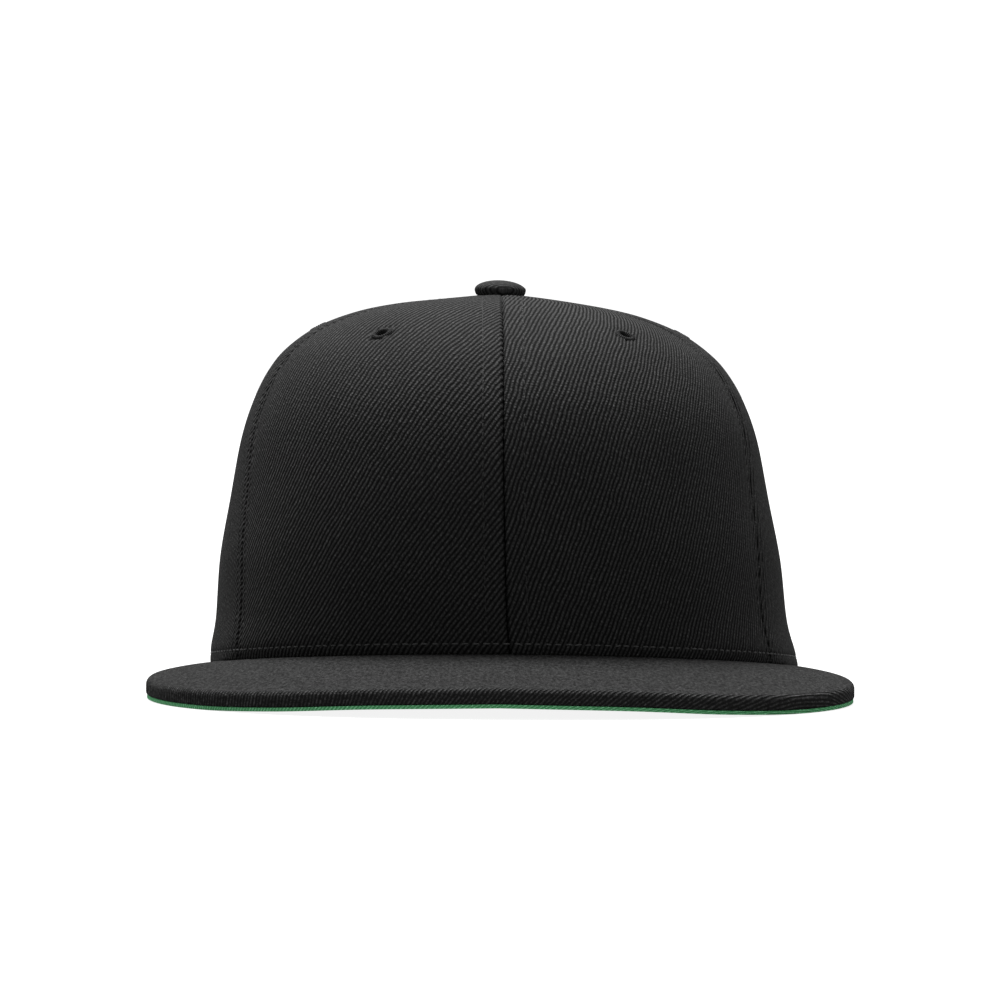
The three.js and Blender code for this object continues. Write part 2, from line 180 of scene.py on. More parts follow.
# Columns: panel, first seam, second seam, topstitch distance from each of them,
# rib angle in degrees, share across and share up at which the eyelet lies.
PANELS = [
    ("front_left", "front_left", "front", 3.0, 5.8, 47, 0.515, 0.63),
    ("front_right", "front", "front_right", 5.8, 3.0, 62, 0.53, 0.645),
    ("side_right", "front_right", "back_right", 3.0, 3.0, 58, 0.5, 0.68),
    ("back_right", "back_right", "back", 3.0, 5.8, 50, 0.5, 0.68),
    ("back_left", "back_start", "back_left", 5.8, 3.0, 66, 0.5, 0.68),
    ("side_left", "back_left", "front_left", 3.0, 3.0, 54, 0.5, 0.68),
]


def swell(angle, share):
    """How far the cloth is drawn in: a sine wave between two seams, less its height in the middle."""
    total = np.zeros(np.broadcast(angle, share).shape)
    rise = smooth(share / BULGE_START) * smooth((1 - share) / BULGE_END)
    for _, first, second, *_ in PANELS:
        start, end = SEAMS[first](share), SEAMS[second](share)
        across = (angle - start) / (end - start)
        inside = (across >= 0) & (across <= 1)
        total = np.where(inside, PANEL_BULGE * (np.sin(np.clip(across, 0, 1) * math.pi) - 1) * rise, total)
    return total


def crown_skin(angle, share):
    """Outside of the crown, in millimetres.

    The front or back outline and the side outline are mixed by the squares of
    the cosine and sine of the angle, which runs from the front towards +X.
    """
    angle, share = np.broadcast_arrays(np.asarray(angle, float), np.asarray(share, float))
    sine, cosine = np.sin(angle), np.cos(angle)
    side_out, side_up = side_at(share)
    ahead_out, ahead_up = front_at(share)
    behind_out, behind_up = back_at(share)
    middle_out = np.where(cosine >= 0, ahead_out, behind_out)
    middle_up = np.where(cosine >= 0, ahead_up, behind_up)
    up = side_up * sine**2 + middle_up * cosine**2
    rim = rim_height(angle)
    bulge = swell(np.arctan2(sine, cosine), share)
    x = sine * (side_out + bulge) + CROWN_LEAN * read_table(LEAN, up)
    y = -cosine * (middle_out + bulge)
    shoulder = smooth((up - SHOULDER_START) / SHOULDER_SHARE) * smooth((1 - up) / BUTTON_SEAT_SHARE)
    z = rim + up * (CROWN_HEIGHT - rim) - SHOULDER_TILT * sine * side_out * shoulder
    return np.stack([x, y + SHIFT_Y, z], -1)


def crown_normal(angle, share):
    """Cross product of the slopes along the angle and along the share."""
    low, high = np.maximum(share - SHARE_STEP, 0), np.minimum(share + SHARE_STEP, 1)
    across = crown_skin(angle + ANGLE_STEP, share) - crown_skin(angle - ANGLE_STEP, share)
    along = crown_skin(angle, high) - crown_skin(angle, low)
    normal = np.cross(across, along)
    return normal / np.linalg.norm(normal, axis=-1, keepdims=True)


def crown_point(angle, share, depth):
    """A point under the crown's outside, along the normal; at the rim it stays level."""
    skin = crown_skin(angle, share)
    inner = skin - crown_normal(angle, share) * np.asarray(depth)[..., None]
    inner[..., 2] = skin[..., 2] + (inner[..., 2] - skin[..., 2]) * smooth(share / LEVEL_EDGE_SHARE)
    return inner


def put_mesh(name, points, faces, material, flat=None, rib_angle=0.0):
    """Makes a smooth mesh from points in millimetres and faces.

    flat gives each point's place on the cut cloth, in millimetres. It is turned
    so that the map's u runs along the ribs and its v across them, in metres.
    """
    used, faces = np.unique(faces, return_inverse=True)
    faces = faces.reshape(-1, 4)
    mesh = bpy.data.meshes.new(name)
    mesh.from_pydata(points[used] * MM, [], faces)
    if flat is not None:
        cosine, sine = math.cos(rib_angle), math.sin(rib_angle)
        turned = flat[used] @ np.array([[cosine, -sine], [sine, cosine]]) * MM
        layer = mesh.uv_layers.new(name="cloth")
        layer.uv.foreach_set("vector", turned[faces.ravel()].astype(np.float32).ravel())
    mesh.polygons.foreach_set("use_smooth", np.ones(len(mesh.polygons), bool))
    mesh.materials.append(material)
    piece = bpy.data.objects.new(name, mesh)
    bpy.context.scene.collection.objects.link(piece)
    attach(piece, "root")
    return piece


def wall_faces(keep):
    """Faces of a closed wall between two like grids of points, where keep marks the cells it has.

    The first grid faces outwards where columns times rows does. Cells at a
    border, or beside one that is left out, get a face across the thickness.
    """
    rows, columns = keep.shape[0] + 1, keep.shape[1] + 1
    front = np.arange(rows * columns).reshape(rows, columns)
    back = front + rows * columns
    low, high = slice(None, -1), slice(1, None)
    a, b, c, d = (front[part][keep] for part in [(low, low), (low, high), (high, high), (high, low)])
    faces = [np.stack([a, b, c, d], 1), np.stack([a, d, c, b], 1) + rows * columns]
    padded = np.pad(keep, 1)
    for missing, start, end in [
        (padded[:-2, 1:-1], (low, low), (low, high)),
        (padded[2:, 1:-1], (high, high), (high, low)),
        (padded[1:-1, :-2], (high, low), (low, low)),
        (padded[1:-1, 2:], (low, high), (high, high)),
    ]:
        bare = keep & ~missing
        p, q, r, s = front[start][bare], front[end][bare], back[end][bare], back[start][bare]
        faces.append(np.stack([p, s, r, q], 1))
    return np.concatenate(faces)


def calc(tree, operation, first, second=0.0, third=0.0):
    """One Math node, fed by sockets or plain numbers."""
    node = tree.nodes.new("ShaderNodeMath")
    node.operation = operation
    for socket, value in zip(node.inputs, (first, second, third)):
        if isinstance(value, bpy.types.NodeSocket):
            tree.links.new(value, socket)
        else:
            socket.default_value = value
    return node.outputs[0]


def speckle(tree, place, scale, detail):
    """Noise from 0 to 1."""
    node = tree.nodes.new("ShaderNodeTexNoise")
    node.inputs["Scale"].default_value = scale
    node.inputs["Detail"].default_value = detail
    tree.links.new(place, node.inputs["Vector"])
    return node.outputs["Fac"]


def between(tree, low, high, amount):
    """Colour between two, by an amount from 0 to 1."""
    node = tree.nodes.new("ShaderNodeMix")
    node.data_type = "RGBA"
    node.inputs[6].default_value = (*low, 1)
    node.inputs[7].default_value = (*high, 1)
    tree.links.new(amount, node.inputs[0])
    return node.outputs[2]


def raise_by(tree, shader, height, relief):
    """Feeds a height, in shares of a relief in millimetres, to the shader's normal."""
    bump = tree.nodes.new("ShaderNodeBump")
    bump.inputs["Distance"].default_value = relief * MM
    tree.links.new(height, bump.inputs["Height"])
    tree.links.new(bump.outputs["Normal"], shader.inputs["Normal"])


FLOAT_SHARE = 0.8
WAVER = 1.2
WAVER_SCALE = 110
FIBRE_SCALE = 2200
SLUB_SCALE = 900
GRAIN_SCALE = 600
PATCH_SCALE = 45
# Streaks stretched from back to front: painted shade and highlight of raised fibres.
FUZZ_SHADING_SCALE = (1300, 300, 1300)
LEAST_FUZZ_SHADING = 0.1
GLOSS_IN_VALLEYS = 0.02
CLOTH_ROUGHNESS = 0.85


def twill_cloth(name, shaded_valley, ridge, rib_pitch, relief, grain, gloss, fuzz_shading=0.0):
    """Woven twill: rounded ribs, each broken into short floats.

    The height is a raised cosine across the ribs times a shallow cosine along
    them, shifted by half a float from rib to rib, plus fibre noise and a coarser
    grain. The ridges take the lighter colour and more gloss; the valleys are
    darker and less glossy, painted shade where the ribs shade each other. Fuzz
    shading is the share by which streaks stretched from back to front lighten or
    darken the cloth, painted shade and highlight of raised fibres.
    """
    material = bpy.data.materials.new(name)
    material.use_nodes = True
    tree = material.node_tree
    shader = tree.nodes["Principled BSDF"]
    flat = tree.nodes.new("ShaderNodeUVMap")
    flat.uv_map = "cloth"
    place = flat.outputs["UV"]
    split = tree.nodes.new("ShaderNodeSeparateXYZ")
    tree.links.new(place, split.inputs[0])
    waver = calc(tree, "MULTIPLY_ADD", speckle(tree, place, WAVER_SCALE, 3), WAVER, -WAVER / 2)
    ribs = calc(tree, "MULTIPLY_ADD", split.outputs["Y"], 1 / (rib_pitch * MM), waver)
    rib_wave = calc(tree, "COSINE", calc(tree, "MULTIPLY_ADD", ribs, 2 * math.pi, math.pi))
    rib_height = calc(tree, "MULTIPLY_ADD", rib_wave, 0.5, 0.5)
    stagger = calc(tree, "MULTIPLY", calc(tree, "FLOOR", ribs), 0.5)
    floats = calc(tree, "MULTIPLY_ADD", split.outputs["X"], 1 / (FLOAT_SHARE * rib_pitch * MM), stagger)
    float_wave = calc(tree, "COSINE", calc(tree, "MULTIPLY", floats, 2 * math.pi))
    yarn = calc(tree, "MULTIPLY", rib_height, calc(tree, "MULTIPLY_ADD", float_wave, 0.12, 0.88))
    fibre = speckle(tree, place, FIBRE_SCALE, 2)
    slub = calc(tree, "POWER", calc(tree, "MULTIPLY", speckle(tree, place, SLUB_SCALE, 1), 1.6), 3)
    patch = speckle(tree, place, PATCH_SCALE, 3)
    # The tone holds painted shade in the rib valleys (yarn) and the cloth's own random tone (fibre, slub,
    # patch).
    shade_and_tone = calc(tree, "MULTIPLY", yarn, calc(tree, "MULTIPLY_ADD", fibre, 1.8, -0.3))
    shade_and_tone = calc(tree, "MULTIPLY", shade_and_tone, calc(tree, "MULTIPLY_ADD", slub, 0.5, 0.5))
    shade_and_tone = calc(tree, "MULTIPLY", shade_and_tone, calc(tree, "MULTIPLY_ADD", patch, 0.5, 0.75))
    # Streaks stretched from back to front lighten and darken the cloth: painted shade and highlight of raised
    # fibres.
    if fuzz_shading:
        streaked_place = tree.nodes.new("ShaderNodeMapping")
        streaked_place.inputs["Scale"].default_value = FUZZ_SHADING_SCALE
        tree.links.new(tree.nodes.new("ShaderNodeTexCoord").outputs["Object"], streaked_place.inputs["Vector"])
        fuzz_shading_factor = calc(tree, "MULTIPLY_ADD", speckle(tree, streaked_place.outputs["Vector"], 1, 2), 2 * fuzz_shading, 1 - fuzz_shading)
        shade_and_tone = calc(tree, "MULTIPLY", shade_and_tone, calc(tree, "MAXIMUM", fuzz_shading_factor, LEAST_FUZZ_SHADING))
    # The valleys take the darker colour: painted shade in the rib valleys.
    tree.links.new(between(tree, shaded_valley, ridge, shade_and_tone), shader.inputs["Base Color"])
    # Gloss follows the tone, so the painted valley shade also dims their gloss.
    specular = calc(tree, "MULTIPLY_ADD", shade_and_tone, gloss, GLOSS_IN_VALLEYS)
    tree.links.new(specular, shader.inputs["Specular IOR Level"])
    rough = calc(tree, "MULTIPLY_ADD", slub, 0.3, calc(tree, "MULTIPLY_ADD", fibre, 0.4, yarn))
    rough = calc(tree, "MULTIPLY_ADD", speckle(tree, place, GRAIN_SCALE, 2), grain, rough)
    raise_by(tree, shader, rough, relief)
    shader.inputs["Roughness"].default_value = CLOTH_ROUGHNESS
    return material


SEAM_DIP = 1.1
SEAM_HALF_WIDTH = 0.5
SEAM_GAP = 0.14
RIB_BEND = 0.45
SHALLOW_START = 0.8
SHALLOW_SPAN = 0.15
SHALLOWING = 0.7
LEAST_CLOTH = 0.35
CHANNEL_DIP = 0.2
CHANNEL_HALF_WIDTH = 0.5
HEM_ROW = 2.8
HEM_BITE = 0.68
HEM_ROUNDING = 0.7
HEM_ROLL = 0.7
ROLL_FADE = 0.3
EYELET_HOLE = 2.4
EYELET_EDGE = 3.6
EYELET_DIP = 0.6
EYELET_DIP_WIDTH = 0.4
VISOR_SEAT = 0.05
SEAT_FADE = 4
VISOR_SEAM_ANGLE = 69 * DEGREE
PANEL_SPAN = 98
PANEL_LENGTH = 150

black_twill = twill_cloth(
    "black_twill", (0.0045, 0.0045, 0.0045), (0.052, 0.052, 0.052), 1.2, 0.27, 0.35, 0.4
)
by_seam = np.array([
    0, 0.15, 0.35, 0.6, 0.9, 1.3, 1.8, 2.3, 2.7, 3, 3.3, 3.8, 4.4, 5, 5.4, 5.8, 6.2, 6.7, 7.4, 8.4,
])
by_rim = np.array([0, 0.12, 0.3, 0.5, 0.75, 1.1, 1.6, 2.1, 2.5, 2.8, 3.1, 3.5, 4.1])
plain_columns = np.linspace(by_seam[-1], PANEL_SPAN - by_seam[-1], 64)[1:-1]
full_columns = np.concatenate([by_seam, plain_columns, PANEL_SPAN - by_seam[::-1]]) / PANEL_SPAN
panel_rows = np.concatenate([by_rim, np.linspace(by_rim[-1], PANEL_LENGTH, 118)[1:]]) / PANEL_LENGTH
across_samples = np.linspace(0, 1, 2001)
even_columns = np.linspace(0, 1, 40)
eased_columns = 0.5 + 0.5 * np.sin(np.linspace(-math.pi / 2, math.pi / 2, 90))


def panel_angle(first, second, share, across):
    """Angle at a share of the way from one seam to the next."""
    start, end = SEAMS[first](share), SEAMS[second](share)
    return start + (end - start) * across


def arch_share(angle_of, columns):
    """Share of the way up at which each column leaves the rear opening, a half oval seen from behind."""
    share = np.linspace(0, 0.6, 1201)[:, None]
    skin = crown_skin(angle_of(share, columns), share)
    across, up = (skin[..., 0] - RIM_SHIFT) / ARCH_HALF_WIDTH, skin[..., 2] / ARCH_HEIGHT
    inside = (across**2 + up**2 < 1) & (skin[..., 1] > SHIFT_Y)
    return np.where(inside.any(0), share[len(share) - 1 - inside[::-1].argmax(0), 0], 0)


def groove(distance, half_width):
    """Bell curve, 1 in the groove's middle."""
    return np.exp(-((distance / half_width) ** 2))


def lengths_along(points, axis):
    """Running length along one axis of a grid of points, from its first line."""
    steps = np.linalg.norm(np.diff(points, axis=axis), axis=-1)
    pad = [(1, 0) if place == axis else (0, 0) for place in range(2)]
    return np.pad(np.cumsum(steps, axis), pad)


for panel, first, second, first_row, second_row, rib_degrees, eyelet_across, eyelet_up in PANELS:
    def angle_of(share, across):
        return panel_angle(first, second, share, across)

    columns = full_columns
    start = np.zeros(len(columns))
    if panel.startswith("back"):
        opened = across_samples[arch_share(angle_of, across_samples) > 0]
        if panel == "back_left":
            edge = opened.max()
            columns = np.concatenate([edge * eased_columns, edge + (1 - edge) * even_columns[1:]])
        else:
            edge = opened.min()
            columns = np.concatenate([edge * even_columns[:-1], edge + (1 - edge) * eased_columns])
        start = arch_share(angle_of, columns)
    share = start + (1 - start) * panel_rows[:, None]
    angle = angle_of(share, np.broadcast_to(columns, share.shape))
    from_first = lengths_along(crown_skin(angle, share), 1)
    width = from_first[:, -1:]
    from_second = width - from_first
    from_edge = (share - start) * PANEL_LENGTH
    shallow = 1 - SHALLOWING * smooth((share - SHALLOW_START) / SHALLOW_SPAN)
    dip = SEAM_DIP * shallow * (groove(from_first, SEAM_HALF_WIDTH) + groove(from_second, SEAM_HALF_WIDTH))
    for row in (from_first - first_row, from_second - second_row, from_edge - HEM_ROW):
        dip += CHANNEL_DIP * groove(row, CHANNEL_HALF_WIDTH)
    rounding = 1 - np.clip(from_edge / HEM_ROUNDING, 0, 1)
    bite = HEM_BITE * (1 - np.sqrt(1 - rounding**2))
    over_visor = smooth((VISOR_SEAM_ANGLE - np.abs(angle)) / ROLL_FADE)
    roll = HEM_ROLL * (1 - smooth(from_edge / HEM_ROW)) * over_visor
    parted = np.clip(columns, SEAM_GAP / PANEL_SPAN, 1 - SEAM_GAP / PANEL_SPAN)
    outer = crown_point(angle_of(share, parted), share, dip + bite + roll)
    inner = crown_point(angle, share, np.maximum(CLOTH - bite, dip + bite + roll + LEAST_CLOTH))
    seat_drop = VISOR_SEAT * (1 - smooth(from_edge / SEAT_FADE)) * (np.abs(angle) < VISOR_SEAM_ANGLE)
    outer[..., 2] -= seat_drop
    inner[..., 2] -= seat_drop
    eyelet_place = crown_skin(angle_of(eyelet_up, eyelet_across), eyelet_up)
    from_eyelet = np.linalg.norm(outer - eyelet_place, axis=-1)
    pressed = EYELET_DIP * groove(from_eyelet - EYELET_EDGE, EYELET_DIP_WIDTH)
    outer -= crown_normal(angle, share) * pressed[..., None]
    cells = (outer[1:, 1:] + outer[:-1, :-1]) / 2
    keep = np.linalg.norm(cells - eyelet_place, axis=-1) > EYELET_HOLE
    points = np.concatenate([outer.reshape(-1, 3), inner.reshape(-1, 3)])
    straight = {"front_left": width, "front_right": 0}.get(panel, width / 2)
    bent = from_first - straight + RIB_BEND * share**2 * PANEL_LENGTH / 2
    flat = np.stack([bent, share * PANEL_LENGTH], -1).reshape(-1, 2)
    gore = put_mesh(
        f"{panel}_gore", points, wall_faces(keep), black_twill,
        np.concatenate([flat, flat]), rib_degrees * DEGREE,
    )
    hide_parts(f"panel_{panel}")

# Seam and hem stitching. Black lockstitch in cotton thread runs beside each seam
# and round the rim, and holds the seam allowances flat on the inside. Each stitch
# is a short arched length of thread whose ends dive into the cloth.
STITCH_LENGTH = 2.2
STITCH_PITCH = 2.9
THREAD_RADIUS = 0.24
STITCH_ARCH = 0.22
THREAD_LIFT = 0.04
SEAM_SAMPLES = 300
HEM_SAMPLES = 900
BACK_SEAM_START = 0.4
SEAM_ROWS_END = 0.93
ARCH_MARGIN = 0.03
scatter = np.random.default_rng(7)


def stitches_on(points, normals, pitch=STITCH_PITCH):
    """Middle, direction and normal of each stitch, spaced along a line of points with a little scatter."""
    along = np.concatenate([[0], np.cumsum(np.linalg.norm(np.diff(points, axis=0), axis=1))])
    count = int(along[-1] / pitch)
    at = (np.arange(count) + 0.5 + scatter.uniform(-0.08, 0.08, count)) * pitch
    middle, back, ahead, normal = (
        np.stack([np.interp(place, along, values[:, axis]) for axis in range(3)], 1)
        for place, values in [(at, points), (at - 0.5, points), (at + 0.5, points), (at, normals)]
    )
    way = ahead - back + np.cross(normal, ahead - back) * scatter.normal(0, 0.08, (count, 1))
    middle = middle - normal * scatter.uniform(0, 0.09, (count, 1))
    return middle, way / np.linalg.norm(way, axis=1, keepdims=True), normal


def thread_mesh(name, rows, material, length=STITCH_LENGTH, radius=THREAD_RADIUS):
    """Closed capsules of 8 rings with 8 points each, one for each stitch.

    Along each, the radius is the sine's square root and the middle line is a
    parabola that sinks by the arch height at both ends.
    """
    middle, way, normal = (np.concatenate(part) for part in zip(*rows))
    side = np.cross(normal, way)
    turn = np.linspace(0.02, math.pi - 0.02, 8)
    round_ = np.arange(8) / 8 * 2 * math.pi
    along = -np.cos(turn)[:, None]
    swell_out = radius * np.sqrt(np.sin(turn))[:, None]
    offsets = np.stack(
        np.broadcast_arrays(
            along * length / 2,
            swell_out * np.cos(round_),
            swell_out * np.sin(round_) - STITCH_ARCH * along**2,
        ),
        -1,
    ).reshape(-1, 3)
    frame_axes = np.stack([way, side, normal], 1)
    points = (middle[:, None] + np.einsum("pk,nkc->npc", offsets, frame_axes)).reshape(-1, 3)
    grid = np.arange(64).reshape(8, 8)
    turned = np.roll(grid, -1, axis=1)
    sides = np.stack([grid[:-1], turned[:-1], turned[1:], grid[1:]], -1).reshape(-1, 4)
    caps = [[0, 3, 2, 1], [0, 5, 4, 3], [0, 7, 6, 5], [56, 57, 58, 59], [56, 59, 60, 61], [56, 61, 62, 63]]
    faces = np.concatenate([sides, np.array(caps)])
    faces = (faces + np.arange(len(middle))[:, None, None] * 64).reshape(-1, 4)
    return put_mesh(name, points, faces, material)


def thread(name, dark, light, sheen):
    """Twisted thread: fine noise between two shades."""
    material = bpy.data.materials.new(name)
    material.use_nodes = True
    tree = material.node_tree
    shader = tree.nodes["Principled BSDF"]
    place = tree.nodes.new("ShaderNodeTexCoord").outputs["Object"]
    fibre = speckle(tree, place, 3000, 2)
    tree.links.new(between(tree, dark, light, fibre), shader.inputs["Base Color"])
    raise_by(tree, shader, fibre, 0.12)
    shader.inputs["Roughness"].default_value = 0.75
    shader.inputs["Specular IOR Level"].default_value = 0.15
    shader.inputs["Sheen Weight"].default_value = sheen
    shader.inputs["Sheen Roughness"].default_value = 0.4
    return material


black_thread = thread("black_thread", (0.005, 0.005, 0.005), (0.034, 0.034, 0.034), 0.0)


def crown_row(angle, share):
    """Stitches along a line on the crown's outside, sunk into its channel."""
    line = crown_point(angle, share, np.full(share.shape, CHANNEL_DIP - THREAD_LIFT))
    return stitches_on(line, crown_normal(angle, share))


seam_rows = []
for panel, first, second, first_row, second_row, *_ in PANELS:
    for seam, distance in ((first, first_row), (second, -second_row)):
        low = BACK_SEAM_START if seam in ("back", "back_start") else (HEM_ROW + 2) / PANEL_LENGTH
        share = np.linspace(low, SEAM_ROWS_END, SEAM_SAMPLES)
        angle = SEAMS[seam](share)
        sideways = crown_skin(angle + ANGLE_STEP / 2, share) - crown_skin(angle - ANGLE_STEP / 2, share)
        speed = np.linalg.norm(sideways, axis=1) / ANGLE_STEP
        seam_rows.append(crown_row(angle + distance / speed, share))
thread_mesh("seam_stitches", seam_rows, black_thread)
arch_foot = math.pi - math.asin(ARCH_HALF_WIDTH / (CROWN_WIDTH / 2)) - ARCH_MARGIN
hem_angle = np.linspace(-arch_foot, arch_foot, HEM_SAMPLES)
hem_rows = [crown_row(hem_angle, np.full(HEM_SAMPLES, HEM_ROW / PANEL_LENGTH))]
# The hem's black thread is set lighter than the seam thread: painted highlight on the hem stitches.
hem_thread_painted_highlight = thread("hem_thread_painted_highlight", (0.015, 0.015, 0.015), (0.1, 0.1, 0.1), 0.1)
thread_mesh("hem_stitches", hem_rows, hem_thread_painted_highlight)

# Eyelets. A hole punched in each panel is overcast with black thread laid
# radially, side by side, so that the ring is ridged and a little uneven.
RING_RADIUS = 2.35
RING_HALF_WIDTH = 1.05
RING_TOP = 0.3
RING_BOTTOM = -3.0
RING_THREADS = 26


def seat(angle, share):
    """Place and two directions and the normal at one point on the crown."""
    angle, share = np.array([angle], float), np.array([share], float)
    normal = crown_normal(angle, share)[0]
    side = np.cross([0, 0, 1], normal)
    side /= np.linalg.norm(side)
    return crown_skin(angle, share)[0], side, np.cross(normal, side), normal


def ring_points(wobble):
    """Torus of oval section whose width swells and shrinks with each laid thread."""
    turn = np.linspace(0, 2 * math.pi, RING_THREADS * 6, endpoint=False)[:, None]
    section = np.linspace(0, 2 * math.pi, 20, endpoint=False)
    ridge = np.abs(np.cos(turn * RING_THREADS / 2 + 0.8 * np.sin(3 * turn + wobble)))
    uneven = 1 + 0.1 * np.sin(2 * turn + wobble) + 0.06 * np.sin(5 * turn - wobble)
    half_width = RING_HALF_WIDTH * (0.72 + 0.28 * ridge) * uneven
    middle, half_height = (RING_TOP + RING_BOTTOM) / 2, (RING_TOP - RING_BOTTOM) / 2
    reach = RING_RADIUS + half_width * np.cos(section)
    height = middle + half_height * (0.88 + 0.12 * ridge) * np.sin(section)
    return np.stack([reach * np.cos(turn), reach * np.sin(turn), height], -1)


def looped_faces(rows, columns):
    """Quads of a grid of points that closes on itself both ways."""
    grid = np.arange(rows * columns).reshape(rows, columns)
    ahead, up = np.roll(grid, -1, axis=1), np.roll(grid, -1, axis=0)
    return np.stack([grid, up, np.roll(up, -1, axis=1), ahead], -1).reshape(-1, 4)


# Darker than the seam thread: painted shade for the dark outline round each eyelet.
eyelet_thread = thread("eyelet_thread", (0.002, 0.002, 0.002), (0.02, 0.02, 0.02), 0.0)
for number, (panel, first, second, _, _, _, eyelet_across, eyelet_up) in enumerate(PANELS):
    origin, side, up, normal = seat(panel_angle(first, second, eyelet_up, eyelet_across), eyelet_up)
    ring = ring_points(1.7 * number)
    points = origin + ring[..., :1] * side + ring[..., 1:2] * up + ring[..., 2:] * normal
    piece = put_mesh(
        f"{panel}_eyelet_ring", points.reshape(-1, 3), looped_faces(*ring.shape[:2]),
        eyelet_thread,
    )
    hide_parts(f"eyelet_{panel}")

# Top button. A metal shell covered in the crown's twill, gathered under its rim,
# and riveted through the meeting point of the six panels to a washer inside.
BUTTON_RADIUS = 7.65
BUTTON_HEIGHT = 4.2
BUTTON_SEAT = 0.35
BUTTON_CUP = 0.9
BUTTON_WAIST = 5.8
BUTTON_WIDEST = 1.2
WASHER_RADIUS = 5.6
WASHER_THICKNESS = 0.8


def button_points():
    """Turned outline from the washer up the shank, under the gathered edge and over the dome.

    The edge runs out from the waist by a sine to the widest line, whose height
    wavers with the gathers, and the dome closes by a quarter oval.
    """
    shank, under = HOLE_RADIUS - BUTTON_SEAT, -CLOTH - 2 * BUTTON_SEAT
    foot = np.array([
        (0.01, under - WASHER_THICKNESS), (WASHER_RADIUS, under - WASHER_THICKNESS), (WASHER_RADIUS, under),
        (shank, under), (shank, -BUTTON_CUP), (BUTTON_WAIST, -BUTTON_CUP),
    ])
    turn = np.linspace(0, math.pi / 2, 12)[1:, None]
    edge = np.hstack([
        BUTTON_WAIST + (BUTTON_RADIUS - BUTTON_WAIST) * np.sin(turn),
        BUTTON_WIDEST - (BUTTON_WIDEST + BUTTON_CUP) * np.cos(turn),
    ])
    dome = np.hstack([
        np.maximum(BUTTON_RADIUS * np.cos(turn), 0.01),
        BUTTON_WIDEST + (BUTTON_HEIGHT - BUTTON_WIDEST) * np.sin(turn),
    ])
    outline_rows = np.concatenate([foot, edge, dome])
    turn = np.linspace(0, 2 * math.pi, 144, endpoint=False)
    near_edge = np.exp(-(((outline_rows[:, 1:] - BUTTON_WIDEST) / 0.9) ** 2))
    gathers = 0.5 * np.sin(9 * turn + 2 * np.sin(2 * turn)) + 0.5 * np.sin(16 * turn + 1.5 * np.sin(3 * turn))
    reach = outline_rows[:, :1] * (1 + 0.014 * np.sin(5 * turn + 1) + 0.012 * gathers * near_edge)
    height = outline_rows[:, 1:] + 0.03 * outline_rows[:, :1] * np.cos(turn - 2.8) + 0.3 * gathers * near_edge
    return np.stack([reach * np.cos(turn), reach * np.sin(turn), height], -1)


def turned_faces(rows, columns):
    """Quads of a grid that closes on itself across its columns."""
    grid = np.arange(rows * columns).reshape(rows, columns)
    ahead = np.roll(grid, -1, axis=1)
    return np.stack([grid[:-1], ahead[:-1], ahead[1:], grid[1:]], -1).reshape(-1, 4)


button = button_points()
button_place = crown_skin(0.0, 1.0)
button_place[1:] = SHIFT_Y, CROWN_HEIGHT
button_flat = button[..., :2].reshape(-1, 2)
button_twill = twill_cloth(
    "button_twill", (0.01, 0.01, 0.01), (0.05, 0.05, 0.05), 0.8, 0.06, 0.5, 0.4
)
piece = put_mesh(
    "covered_button", button.reshape(-1, 3) + button_place, turned_faces(*button.shape[:2]), button_twill,
    button_flat, 10 * DEGREE,
)
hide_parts("top_button")

# Visor cover. A stiff board cut to a squared oval is wrapped in the crown's twill,
# which is turned down over the edge. Its rear edge is sewn in under the rim.
VISOR_WIDTH = 197
VISOR_WIDEST_REACH = 78
VISOR_SQUARENESS = 2.35
VISOR_CORNER_ANGLE = 70 * DEGREE
VISOR_CORNER_STEP = 2
VISOR_WIDEST_SHARE = 0.722
VISOR_TOP = 3.9
VISOR_UNDER = 0.95
VISOR_UNDER_INSET = 0.4
VISOR_ROUNDING = 1.6
VISOR_REAR_RISE = 0.5
VISOR_TURN_UNDER = 0.1
VISOR_FRONT_LIFT = 2.8
VISOR_TAPER_SHARE = 0.2
VISOR_CORNER_THINNING = 0.5
VISOR_COLUMNS = 321
ROUNDING_ROWS = 8
WALL_ROWS = 6
TUCK_ROWS = 4
TUCK = 0.4
TUCK_FOLD = 0.3
CLEARANCE = 0.35
# Columns: share of the way from the front to a corner, share of the front lift.
VISOR_LIFT = [(0, 1), (0.14, 0.72), (0.272, 0.25), (0.413, 0), (0.722, 0.14), (1, 0.36)]

# The crown's twill again, set lighter and less glossy than on the crown: the lighter colours are painted
# light on the visor.
visor_twill_painted_light = twill_cloth(
    "visor_twill_painted_light", (0.011, 0.011, 0.011), (0.065, 0.065, 0.065), 1.0, 0.4, 1.0, 0.1, 2.2
)
visor_share = np.linspace(-1, 1, VISOR_COLUMNS)
visor_along = np.abs(visor_share)
visor_fullness = 1 - VISOR_CORNER_THINNING * smooth((visor_along - 1 + VISOR_TAPER_SHARE) / VISOR_TAPER_SHARE)
at_rim = np.zeros(VISOR_COLUMNS)
rim_corner = crown_point(visor_share * VISOR_CORNER_ANGLE, at_rim, at_rim + CLOTH)
visor_rear = rim_corner - [0, 0, CLEARANCE - VISOR_REAR_RISE]


